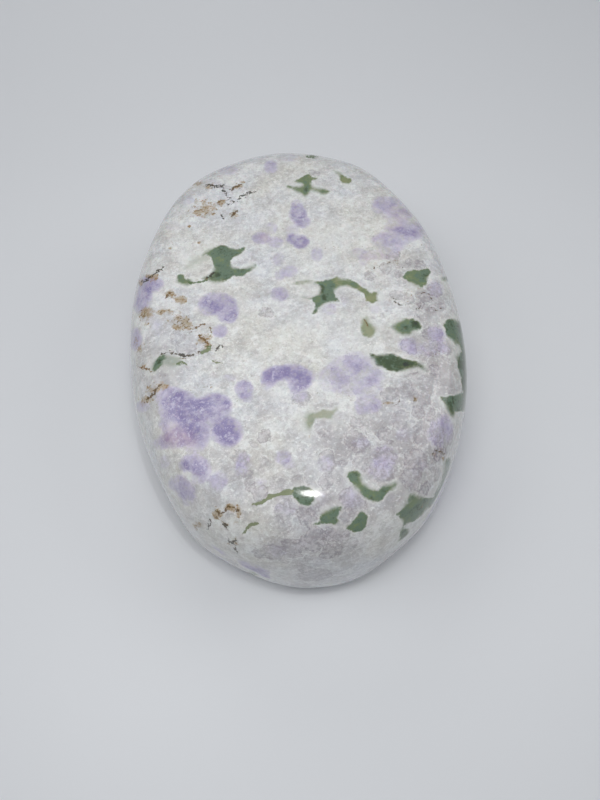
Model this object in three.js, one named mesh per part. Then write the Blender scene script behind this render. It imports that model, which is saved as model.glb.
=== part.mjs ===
// A palm stone: one polished pebble of mottled white, lilac and green rock, ground by hand to an oval cushion.
// Millimetres, +Z up, the long axis along Y, the origin under the middle of the stone where it rests.
//
// The form is worked out in three steps. First, an oval cushion, steep at its rim and nearly level on its face.
// Then shallow flats are ground round its side, where the wheel worked, and their ridges are polished round.
// Last, the stone is cut level where it rests, which leaves the small flat spot under it.
import * as THREE from "three";
import { mergeVertices } from "three/addons/utils/BufferGeometryUtils.js";

// The oval in plan
const halfWidth = 25;
const halfLength = 35;
const planPower = 2.22; // 2 is an ellipse; more fills its shoulders
const eggShare = 0.025; // how much wider the +Y end is than the -Y end

// The cushion in section, above and below its widest line
const rimRise = 16.5; // height that the rounded rim takes above the widest line
const rimPower = 12; // the higher, the steeper the rim and the more level the face
const faceCrown = 0.4; // extra rise of the face towards its middle
const keelDrop = 4.2; // height that the rounded lower rim takes
const keelPower = 10;
const soleCrown = 1; // how far the underside bulges down towards its middle
const flatSpotShare = 0.35; // the flat spot's size, as a share of the oval

// The flats: the side they face, how far they look up, and how deep they were ground
const flats = [
  { facing: 0, lookUp: -5, depth: 0.25 },
  { facing: 10, lookUp: 15, depth: 0.45 },
  { facing: 30, lookUp: 25, depth: 0.75 },
  { facing: 70, lookUp: 25, depth: 0.45 },
  { facing: 110, lookUp: 25, depth: 0.45 },
  { facing: 140, lookUp: 12, depth: 0.2 },
  { facing: 160, lookUp: 15, depth: 0.4 },
  { facing: 200, lookUp: -5, depth: 0.45 },
  { facing: 240, lookUp: -5, depth: 0.3 },
  { facing: 305, lookUp: -10, depth: 0.35 },
  { facing: 330, lookUp: 10, depth: 0.05 },
];
const ridgePower = 40; // the higher, the crisper the ridges between flats

// How finely the solid is faceted
const columns = 88;
const rows = 30;
const sectionSteps = 4000;
const turnWeight = 9; // a radian of turn along the section earns as many rows as this many millimetres

const soleBelowGirdle = keelDrop + soleCrown * (1 - flatSpotShare ** 2);

// A power that keeps its sign, for the rounded-square curves
const signedPower = (value, power) => Math.sign(value) * Math.abs(value) ** power;

// One point of the half section, at an angle from -90 to 90 degrees:
// its reach, as a share of the oval, and its height
function sectionPoint(angle) {
  const above = angle > 0;
  const reach = Math.cos(angle);
  const rim = (above ? rimRise : -keelDrop) * Math.sqrt(1 - reach ** (above ? rimPower : keelPower));
  const crown = (above ? faceCrown : -soleCrown) * (1 - reach ** 2);
  return { reach, height: rim + crown };
}

// The half section from the underside's middle to the face's middle, in even steps of length and turn together
function evenSection(count) {
  const meanRadius = (halfWidth + halfLength) / 2;
  const fine = [];
  let travelled = 0;
  let heading = 0;
  for (let i = 0; i <= sectionSteps; i++) {
    const angle = Math.PI * (i / sectionSteps - 0.5);
    const point = sectionPoint(angle);
    if (i > 0) {
      const last = fine[i - 1];
      const out = (point.reach - last.reach) * meanRadius;
      const up = point.height - last.height;
      const turned = i > 1 ? Math.abs(Math.atan2(up, out) - heading) : 0;
      heading = Math.atan2(up, out);
      travelled += Math.hypot(out, up) + turnWeight * Math.min(turned, Math.PI / 2);
    }
    fine.push({ ...point, travelled });
  }
  const even = [];
  let at = 0;
  for (let row = 0; row <= count; row++) {
    const wanted = (travelled * row) / count;
    while (at < sectionSteps - 1 && fine[at + 1].travelled < wanted) at++;
    const [from, to] = [fine[at], fine[at + 1]];
    const share = (wanted - from.travelled) / (to.travelled - from.travelled);
    even.push({
      reach: THREE.MathUtils.lerp(from.reach, to.reach, share),
      height: THREE.MathUtils.lerp(from.height, to.height, share),
    });
  }
  even[0].reach = 0;
  even[count].reach = 0;
  return even;
}

// The smooth cushion's point at a compass angle and a row of the section,
// measured from the middle of its widest line
function cushionPoint(turn, { reach, height }) {
  const across = signedPower(Math.cos(turn), 2 / planPower);
  const along = signedPower(Math.sin(turn), 2 / planPower);
  return new THREE.Vector3(
    reach * halfWidth * across * (1 + eggShare * along),
    reach * halfLength * along,
    height,
  );
}

// Each flat as a direction and the distance of its plane from the middle,
// ground in from where it would just touch
function flatPlanes(points) {
  return flats.map(({ facing, lookUp, depth }) => {
    const [side, rise] = [facing, lookUp].map(THREE.MathUtils.degToRad);
    const normal = new THREE.Vector3(Math.cos(side), Math.sin(side), 0);
    normal.multiplyScalar(Math.cos(rise)).setZ(Math.sin(rise));
    const touching = Math.max(...points.map((point) => point.dot(normal)));
    return { normal, distance: touching - depth };
  });
}

// Draws a point in towards the middle until it is inside every flat, with the ridges between them rounded
function grind(point, planes) {
  const excess = planes.reduce(
    (sum, { normal, distance }) => sum + Math.max(point.dot(normal) / distance, 0) ** ridgePower,
    0,
  );
  return point.multiplyScalar((1 + excess) ** (-1 / ridgePower));
}

function stoneGeometry() {
  const ball = new THREE.SphereGeometry(1, columns, rows);
  ball.rotateX(Math.PI / 2);
  ball.deleteAttribute("normal");
  ball.deleteAttribute("uv");
  const geometry = mergeVertices(ball);
  const position = geometry.getAttribute("position");

  const section = evenSection(rows);
  const points = [];
  const direction = new THREE.Vector3();
  for (let i = 0; i < position.count; i++) {
    direction.fromBufferAttribute(position, i);
    const latitude = Math.asin(THREE.MathUtils.clamp(direction.z, -1, 1));
    const row = Math.round((latitude / Math.PI + 0.5) * rows);
    points.push(cushionPoint(Math.atan2(direction.y, direction.x), section[row]));
  }

  const planes = flatPlanes(points);
  points.forEach((point, i) => {
    grind(point, planes);
    position.setXYZ(i, point.x, point.y, Math.max(point.z + soleBelowGirdle, 0));
  });

  // The flats leave the oval a little off the middle, so the origin is set under the middle of what is left
  geometry.computeBoundingBox();
  const middle = geometry.boundingBox.getCenter(new THREE.Vector3());
  geometry.translate(-middle.x, -middle.y, 0);
  geometry.computeVertexNormals();
  return geometry;
}

const polishedRock = new THREE.MeshStandardMaterial({ color: 0xd3d0ce, roughness: 0.14, metalness: 0 });

const stone = new THREE.Mesh(stoneGeometry(), polishedRock);
stone.name = "palm_stone";

const group = new THREE.Group();
group.add(stone);

export default group;
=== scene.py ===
# %% [markdown]
# A palm stone is a pebble that was cut, ground and polished until it sits well in the hand. This lesson
# gives one its looks. Its size and place come from a packed model, so that is loaded first, and the skin
# that is made here fills its box.

# %% Load the frame
import math

import bpy
import numpy as np
from mathutils import Matrix, Vector


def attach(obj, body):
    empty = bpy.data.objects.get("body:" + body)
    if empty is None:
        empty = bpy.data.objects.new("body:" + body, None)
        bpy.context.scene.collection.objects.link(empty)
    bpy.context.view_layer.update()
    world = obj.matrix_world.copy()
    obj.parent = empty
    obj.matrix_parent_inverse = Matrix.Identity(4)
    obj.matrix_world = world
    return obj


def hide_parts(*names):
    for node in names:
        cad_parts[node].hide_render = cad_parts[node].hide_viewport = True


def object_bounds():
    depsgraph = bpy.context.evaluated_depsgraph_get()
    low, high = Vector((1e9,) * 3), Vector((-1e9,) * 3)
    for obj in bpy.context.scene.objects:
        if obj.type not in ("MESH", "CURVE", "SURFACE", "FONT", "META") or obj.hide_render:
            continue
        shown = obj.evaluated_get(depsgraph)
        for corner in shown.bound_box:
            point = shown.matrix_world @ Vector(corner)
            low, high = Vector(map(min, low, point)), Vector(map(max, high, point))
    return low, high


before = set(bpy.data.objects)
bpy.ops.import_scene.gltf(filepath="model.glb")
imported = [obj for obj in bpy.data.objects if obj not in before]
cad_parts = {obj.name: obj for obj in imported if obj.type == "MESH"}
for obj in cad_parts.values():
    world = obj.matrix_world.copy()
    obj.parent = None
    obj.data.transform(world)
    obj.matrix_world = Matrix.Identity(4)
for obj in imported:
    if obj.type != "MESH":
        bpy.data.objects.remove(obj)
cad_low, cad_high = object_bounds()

MM = 0.001  # a millimetre, in the metres that the scene is built in
cad_low_mm = np.array(cad_low) / MM
cad_high_mm = np.array(cad_high) / MM
print("the stone's box in mm:", np.round(cad_high_mm - cad_low_mm, 2))

# %% [markdown]
# The camera comes first, because the marks are placed by where they show in its picture. It could stand
# far off with a long lens, which would make both ends of the stone look alike. It stands close instead,
# as a hand-held camera does, so the near end looks larger than the far end.

# %% The camera
PICTURE = np.array([600, 800])  # pixels, across and down
FOCAL_PIXELS = 650  # a wide lens, in pixels of that picture
SENSOR_MM = 36
TILT = math.radians(63.2)  # how steeply the camera looks down
TURN = math.radians(5)  # how far the stone is turned in the picture, its far end to the left
CAMERA_DISTANCE_MM = 94.1
AIM_MM = np.array([0.74, -9.41, 10.9])  # what the camera looks at, in the picture's directions


def turned(vector):
    """A direction turned about the vertical by minus TURN, from the picture's frame to the stone's own."""
    c, s = math.cos(TURN), math.sin(TURN)
    x, y, z = vector
    return np.array([c * x + s * y, c * y - s * x, z])


def placed(name, data):
    """Puts a camera, a mesh or a lamp in the scene."""
    thing = bpy.data.objects.new(name, data)
    bpy.context.collection.objects.link(thing)
    return thing


forward = turned((0, math.cos(TILT), -math.sin(TILT)))
right = turned((1, 0, 0))
upward = np.cross(right, forward)
camera_mm = turned(AIM_MM) - CAMERA_DISTANCE_MM * forward

camera_data = bpy.data.cameras.new("camera")
camera_data.sensor_width = SENSOR_MM
camera_data.lens = FOCAL_PIXELS * SENSOR_MM / PICTURE[1]
camera_data.clip_start = MM
camera = placed("camera", camera_data)
facing = Matrix((right, upward, -forward)).transposed().to_4x4()
camera.matrix_world = Matrix.Translation(Vector(camera_mm * MM)) @ facing
bpy.context.scene.camera = camera
print("lens", round(camera_data.lens, 2), "mm, camera at", np.round(camera_mm, 1), "mm")

# %% [markdown]
# The stone is one closed cushion: steep at its rim, nearly level on its face, with shallow flats ground
# round its side. A sphere with poles would crowd its faces at the middle of the polished face, which is
# what the camera sees best. So the six sides of a cube are swelled to a ball, and each direction of that
# ball is sent to a point of the cushion.

# %% The cushion's driving sizes, in millimetres
HALF_WIDTH = 25
HALF_LENGTH = 35
PLAN_POWER = 2.22  # 2 is an ellipse; more fills its shoulders
EGG_SHARE = 0.025  # how much wider the far end is than the near end
RIM_RISE = 16.5  # what the rounded rim takes above the widest line
RIM_POWER = 12
FACE_CROWN = 0.4
KEEL_DROP = 4.2  # what the lower rim takes
KEEL_POWER = 10
SOLE_CROWN = 1
FLAT_SPOT_SHARE = 0.35
SOLE_BELOW_GIRDLE = KEEL_DROP + SOLE_CROWN * (1 - FLAT_SPOT_SHARE**2)
RIDGE_POWER = 40
FLATS = [  # the side it faces and how far it looks up, in degrees, and its depth
    (0, -5, 0.25), (10, 15, 0.45), (30, 25, 0.75), (70, 25, 0.45), (110, 25, 0.45), (140, 12, 0.2),
    (160, 15, 0.4), (200, -5, 0.45), (240, -5, 0.3), (305, -10, 0.35), (330, 10, 0.05),
]
print("flats ground into the side:", len(FLATS))

# %% [markdown]
# The section is one curve from the middle of the underside to the middle of the face. Even steps of its
# angle would leave long faces on the wall, so it is stepped evenly by length instead, with a little more
# for where it turns sharply.

# %% The half section
TURN_WEIGHT = 4  # a radian of turn earns as much length as this many millimetres


def section(steps=4000):
    """The half section: reach is the cosine of an angle, and height is a rise times the root of
    (1 - reach to a power), plus a crown times (1 - reach squared). Also gives the share travelled."""
    angle = np.linspace(-math.pi / 2, math.pi / 2, steps + 1)
    above = angle > 0
    reach = np.cos(angle).clip(0, 1)
    rim = np.where(above, RIM_RISE, -KEEL_DROP)
    power = np.where(above, RIM_POWER, KEEL_POWER)
    crown = np.where(above, FACE_CROWN, -SOLE_CROWN)
    height = rim * np.sqrt(1 - reach**power) + crown * (1 - reach**2)
    out = np.diff(reach) * (HALF_WIDTH + HALF_LENGTH) / 2
    up = np.diff(height)
    turn = np.abs(np.diff(np.arctan2(up, out), prepend=0)).clip(0, math.pi / 2)
    turn[0] = 0
    travelled = np.concatenate([[0], np.cumsum(np.hypot(out, up) + TURN_WEIGHT * turn)])
    return reach, height, travelled / travelled[-1]


print("section height", np.ptp(section()[1]).round(2), "mm")

# %% [markdown]
# A swelled cube has no poles, but its sides meet along edges, so the points that two sides share are
# merged and the skin is closed.

# %% The ball of directions
BROAD_CELLS = 174  # along each edge of the face and of the underside
WALL_CELLS = 52  # from the underside's edge up to the face's


def swelled_cube(broad, wall):
    """Directions of a ball from the six sides of a cube: each side's two parameters are angles, whose
    tangents are its places on the cube. Points that sides share are merged. Also gives the quads."""
    places, quads, start = [], [], 0
    for axis in range(3):
        for sign in (-1, 1):
            counts = (broad, broad if axis == 2 else wall)
            across, along = [other for other in range(3) if other != axis]
            tangents = [np.tan(np.linspace(-1, 1, n + 1) * math.pi / 4) for n in counts]
            u, v = np.meshgrid(*tangents, indexing="ij")
            side = np.zeros((u.size, 3))
            side[:, axis] = sign
            side[:, across], side[:, along] = u.ravel(), v.ravel()
            places.append(side / np.linalg.norm(side, axis=1, keepdims=True))
            row = counts[1] + 1
            corner = (np.arange(counts[0])[:, None] * row + np.arange(counts[1])).ravel() + start
            quad = np.stack([corner, corner + row, corner + row + 1, corner + 1], 1)
            outward = sign * (-1 if axis == 1 else 1) > 0
            quads.append(quad if outward else quad[:, ::-1])
            start += u.size
    places = np.concatenate(places)
    _, first, back = np.unique(np.round(places, 6), axis=0, return_index=True, return_inverse=True)
    return places[first], back.ravel()[np.concatenate(quads)]


directions, quads = swelled_cube(BROAD_CELLS, WALL_CELLS)
print("directions", len(directions), "quads", len(quads))

# %% [markdown]
# Each direction goes to the cushion, and the flats are ground in last. A true cut would leave knife edges
# between the flats. Drawing each point in by a high power of its share of the way to every plane gives
# the softly rounded ridges that polishing leaves.

# %% Send the directions to the cushion


def signed_power(value, power):
    """A power that keeps its sign, for the rounded-square curves."""
    return np.sign(value) * np.abs(value) ** power


def cushion(directions):
    """Sends each direction to the cushion: its latitude picks a place of the section, and its compass angle
    a place of the rounded oval. Planes are then ground in: a point is drawn to the middle by
    (1 + sum of (its share of the way to each plane) to RIDGE_POWER) to the power -1 / RIDGE_POWER."""
    reach, height, share = section()
    wanted = np.arcsin(directions[:, 2].clip(-1, 1)) / math.pi + 0.5
    compass = np.arctan2(directions[:, 1], directions[:, 0])
    across = signed_power(np.cos(compass), 2 / PLAN_POWER)
    along = signed_power(np.sin(compass), 2 / PLAN_POWER)
    out = np.interp(wanted, share, reach)
    x = out * HALF_WIDTH * across * (1 + EGG_SHARE * along)
    points = np.stack([x, out * HALF_LENGTH * along, np.interp(wanted, share, height)], 1)
    excess = np.zeros(len(points))
    for facing_side, look_up, depth in FLATS:
        side, rise = math.radians(facing_side), math.radians(look_up)
        level = math.cos(rise)
        reached = points @ np.array([math.cos(side) * level, math.sin(side) * level, math.sin(rise)])
        excess += (reached / (reached.max() - depth)).clip(0) ** RIDGE_POWER
    points *= ((1 + excess) ** (-1 / RIDGE_POWER))[:, None]
    points[:, 2] = (points[:, 2] + SOLE_BELOW_GIRDLE).clip(0)
    return points


raw = cushion(directions)
low, high = raw.min(0), raw.max(0)
fit = (cad_high_mm - cad_low_mm) / (high - low)
stone = (raw - low) * fit + cad_low_mm
print("points", len(stone), "triangles", 2 * len(quads), "fit to the frame's box", np.round(fit, 4))

# %% [markdown]
# The directions that the surface faces are needed twice: to know which points the camera sees, and to
# place the lamp that makes the highlight.

# %% Which way each point faces


def point_normals(points, quads):
    """A point's normal: the sum of the cross products of its faces' diagonals, scaled to length one."""
    a, b, c, d = (points[quads[:, corner]] for corner in range(4))
    face = np.cross(c - a, d - b)
    total = np.stack([sum(np.bincount(quads[:, corner], face[:, axis], len(points)) for corner in range(4))
                      for axis in range(3)], 1)
    return total / np.linalg.norm(total, axis=1, keepdims=True)


normals = point_normals(stone, quads)
a, b, c, d = (stone[quads[:, corner]] for corner in range(4))
six_volumes = sum(np.einsum("ij,ij->i", a, np.cross(*edges)).sum() for edges in ((b, c), (c, d)))
print("the skin encloses", (six_volumes / 6 / 1000).round(2), "cm3, so its faces point out")

# %% [markdown]
# The marks are in the rock, so they are colour only and the surface stays smooth. They were read
# in the picture. A flat drawing could be projected down on the face, but marks on the rounded rim would
# then be squeezed. So each point of the mesh is sent to the picture instead, through the camera's own
# lens, and a mark is measured there.

# %% Where each point shows in the picture
offset = stone - camera_mm
away_mm = offset @ forward
shown_at = PICTURE / 2 + FOCAL_PIXELS * np.stack([offset @ right, -(offset @ upward)], 1) / away_mm[:, None]
mm_per_pixel = away_mm / FOCAL_PIXELS
toward_camera = -np.einsum("ij,ij->i", normals, offset / np.linalg.norm(offset, axis=1, keepdims=True))
below_face = cad_high_mm[2] - stone[:, 2]

SEEN_DEPTH_MM = 9  # the picture shows no marks further down than this
DEPTH_FADE_MM = 4  # from there, they end over this depth
OUTLINE_FADE = 0.3  # past the outline, they end before the surface looks this far away, as a cosine
past_outline = (-toward_camera / OUTLINE_FADE).clip(0, 1)
unseen = np.maximum(past_outline, ((below_face - SEEN_DEPTH_MM) / DEPTH_FADE_MM).clip(0, 1))
print("points that the picture shows:", (unseen == 0).mean().round(3))


def point_at(pixel):
    """The number of the mesh point, among those that face the camera, that shows nearest to a pixel."""
    miss = np.linalg.norm(shown_at - pixel, axis=1)
    return int(np.where(toward_camera > 0, miss, np.inf).argmin())


# %% [markdown]
# Three kinds of mark are enough. A patch has an outline, a line has a width that changes along it, and a
# cloud is a soft oval. Each gives a smooth number on every point, so that its edge can run between
# points. Where the picture ends, a mark narrows and stops.

# %% Patches, lines and clouds
END_TAPER_MM = 2.5  # how much narrower a mark is where nothing shows any more
CLOUD_END = 1.5  # how far outside a cloud a point counts there, in the cloud's own half sizes


def patch(outline):
    """The distance in millimetres to a closed outline of straight sides, above zero inside it."""
    here = np.array(outline, float)
    nearest = np.full(len(stone), np.inf)
    inside = np.zeros(len(stone), bool)
    x, y = shown_at.T
    for a, b in zip(here, np.roll(here, -1, axis=0)):
        side = b - a
        share = (((shown_at - a) @ side) / (side @ side)).clip(0, 1)
        nearest = np.minimum(nearest, np.linalg.norm(shown_at - a - share[:, None] * side, axis=1))
        crosses = (a[1] > y) != (b[1] > y)
        rise = side[1] or 1  # a level side is never crossed
        inside ^= crosses & (x < a[0] + (y - a[1]) * side[0] / rise)
    return np.where(inside, nearest, -nearest) * mm_per_pixel - END_TAPER_MM * unseen


def cloud(x, y, half_across, half_along):
    """How far inside a soft oval a point is: 1 at its middle, 0 at its edge and below 0 outside."""
    away = (shown_at - (x, y)) * mm_per_pixel[:, None] / (half_across, half_along)
    return 1 - np.hypot(np.linalg.norm(away, axis=1), CLOUD_END * unseen)


print("a millimetre on the face is", (1 / mm_per_pixel[point_at(PICTURE / 2)]).round(1), "pixels")

# %% [markdown]
# Green mineral fills the gaps between rounded white nodules, so a green patch has hollow sides that meet
# in points. An outline keeps only the points that its shape needs. Each patch has a tone, from 0, pale
# olive, to 1, dark. A few are faint, where only a thin skin of green is left and the white shows through
# it.

# %% The green patches, in the picture's pixels
GREEN_PATCHES = {
    "joined_arms": (0.5, [
        (203, 253), (210, 249), (223, 245), (230, 248), (237, 249), (245, 247), (244, 251), (240, 255),
        (233, 258), (230, 261), (231, 265), (234, 268), (240, 269), (247, 268), (256, 264), (256, 268),
        (250, 272), (243, 276), (234, 276), (228, 280), (219, 283), (212, 283), (206, 280), (203, 278),
        (211, 274), (214, 269), (213, 263), (211, 257), (206, 256), (200, 258)]),
    "arm_haze": (0.45, [
        (208, 253), (203, 255), (196, 259), (188, 264), (184, 269), (190, 268), (197, 264), (203, 261),
        (209, 259)]),
    "arm_end": (0.3, [
        (178, 276), (181, 274), (184, 275), (186, 279), (191, 280), (192, 283), (188, 285), (182, 285),
        (177, 282)]),
    "far_star": (0.25, [
        (287, 185), (293, 186), (300, 187), (303, 185), (301, 183), (294, 182), (297, 179), (302, 177),
        (305, 175), (309, 174), (312, 177), (318, 178), (312, 181), (311, 184), (313, 187), (319, 188),
        (331, 190), (327, 194), (322, 194), (317, 192), (311, 191), (308, 194), (305, 197), (302, 194),
        (297, 192), (292, 189), (287, 188)]),
    "far_dart": (0.1, [
        (333, 170), (341, 173), (346, 177), (351, 179), (353, 182), (349, 184), (343, 184), (340, 181),
        (338, 175)]),
    "middle_branch": (0.6, [
        (313, 281), (321, 281), (331, 279), (338, 278), (341, 286), (335, 289), (334, 292), (336, 296),
        (340, 302), (331, 301), (324, 304), (318, 309), (316, 314), (312, 315), (312, 312), (315, 308),
        (315, 303), (310, 299), (302, 297), (309, 298), (315, 295), (318, 293), (320, 288), (318, 284)]),
    "branch_left_arm": (0.22, [
        (291, 284), (296, 282), (307, 280), (320, 281), (321, 286), (313, 282), (306, 283), (297, 285)]),
    "branch_right_arm": (0.2, [
        (329, 280), (337, 276), (341, 278), (351, 280), (360, 285), (366, 289), (371, 293), (367, 296),
        (361, 292), (354, 288), (347, 286), (340, 287), (334, 290)]),
    "olive_end": (0.05, [
        (363, 291), (372, 292), (378, 292), (377, 297), (379, 302), (373, 303), (366, 301)]),
    "right_block": (0.35, [
        (403, 277), (407, 272), (413, 269), (420, 270), (427, 268), (431, 272), (427, 277), (427, 284),
        (422, 288), (415, 286), (408, 282)]),
    "right_tick": (0.7, [(440, 279), (444, 277), (449, 274), (456, 281), (443, 281)]),
    "right_oval": (0.45, [
        (392, 327), (397, 321), (403, 318), (413, 318), (419, 321), (422, 327), (418, 330), (413, 331),
        (409, 335), (402, 335), (396, 333)]),
    "rim_head": (0.62, [
        (442, 325), (447, 319), (454, 319), (470, 323), (470, 352), (461, 352), (458, 346), (453, 341),
        (448, 337), (445, 329)]),
    "rim_strip": (0.88, [
        (456, 356), (461, 351), (475, 351), (475, 412), (463, 412), (463, 392), (462, 384), (460, 377),
        (457, 365)]),
    "rim_foot": (0.67, [
        (440, 397), (447, 397), (455, 395), (463, 392), (475, 392), (475, 412), (464, 411), (456, 413),
        (453, 418), (447, 410), (443, 403)]),
    "leaf": (0.95, [
        (368, 353), (377, 354), (386, 353), (393, 354), (400, 356), (408, 359), (417, 361), (423, 365),
        (428, 371), (422, 370), (417, 367), (411, 368), (404, 370), (397, 372), (389, 371), (382, 367),
        (376, 365), (373, 359)]),
    "olive_chip": (0.02, [
        (361, 319), (367, 316), (371, 323), (376, 328), (375, 335), (369, 338), (363, 335), (360, 327)]),
    "faint_chip": (0.22, [
        (305, 416), (309, 412), (315, 413), (315, 419), (313, 424), (312, 429), (307, 429), (304, 423)]),
    "faint_bar": (0.02, [
        (312, 414), (318, 412), (323, 409), (331, 410), (337, 407), (338, 410), (334, 414), (332, 419),
        (327, 419), (320, 418), (312, 419)]),
    "vein_head": (0.6, [
        (150, 371), (153, 365), (157, 357), (163, 353), (165, 356), (164, 363), (160, 368), (154, 372)]),
    "vein_fill": (0.35, [
        (163, 356), (172, 355), (180, 357), (183, 361), (180, 366), (170, 367), (163, 364)]),
    "near_blob": (0.75, [
        (288, 490), (294, 487), (303, 486), (312, 489), (316, 495), (314, 502), (308, 507), (301, 505),
        (295, 500)]),
    "near_vee": (0.5, [
        (343, 474), (349, 471), (358, 471), (362, 475), (363, 481), (367, 486), (372, 489), (378, 490),
        (384, 486), (390, 484), (398, 481), (398, 486), (393, 490), (387, 492), (384, 497), (380, 501),
        (373, 503), (366, 499), (360, 493), (354, 487), (349, 481)]),
    "near_wedge": (0.5, [
        (312, 525), (320, 521), (320, 514), (328, 510), (335, 507), (341, 506), (342, 510), (337, 514),
        (337, 520), (342, 524), (334, 525), (324, 524)]),
    "near_kidney": (0.45, [
        (361, 511), (367, 513), (368, 518), (366, 527), (361, 531), (354, 533), (347, 530), (344, 526),
        (350, 524), (354, 520), (357, 516)]),
    "near_right": (0.55, [
        (395, 514), (402, 508), (408, 501), (409, 493), (414, 493), (420, 496), (427, 498), (434, 497),
        (440, 488), (444, 494), (436, 503), (428, 509), (422, 514), (416, 521), (410, 523), (404, 526),
        (401, 520)]),
    "near_notch": (0.65, [(399, 531), (403, 527), (408, 529), (410, 535), (404, 541), (398, 543)]),
    "near_rim": (0.65, [
        (445, 459), (449, 457), (452, 462), (449, 476), (444, 489), (437, 500), (433, 497), (438, 488),
        (442, 476), (444, 467)]),
}
FAINT = {"faint_chip": 0.7, "faint_bar": 0.64, "vein_fill": 0.5, "olive_chip": 0.9, "arm_haze": 0.5}
DARK_CORES = [  # pixel, radius in millimetres: where a green patch turns nearly black
    (320, 290, 0.9), (324, 297, 0.6), (416, 323, 1), (159, 361, 0.45), (381, 357, 0.3), (405, 364, 0.25),
    (372, 500, 0.4), (377, 488, 0.35), (218, 275, 0.6), (306, 190, 0.5), (461, 326, 0.5), (453, 403, 0.2),
]
CORE_TONE = 0.8  # what such a core adds to the tone

depths = np.stack([patch(outline) for _, outline in GREEN_PATCHES.values()])
seen_green, deepest_patch = depths.max(0), depths.argmax(0)
seen_tone = np.array([tone for tone, _ in GREEN_PATCHES.values()])[deepest_patch]
seen_strength = np.array([FAINT.get(name, 1) for name in GREEN_PATCHES])[deepest_patch]
seen_tone += CORE_TONE * np.max([cloud(x, y, size, size) for x, y, size in DARK_CORES], axis=0).clip(0)
print("green patches:", len(GREEN_PATCHES), "covering", (seen_green > 0).mean().round(4))

# %% [markdown]
# Thin lines need more care, because the mesh's points are further apart than a line is wide. A distance
# that only counts up would miss the line between two points. So each point gets the distance across the
# line with a sign for its side, which runs straight through zero between points, and the width that the
# line has there.

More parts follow.
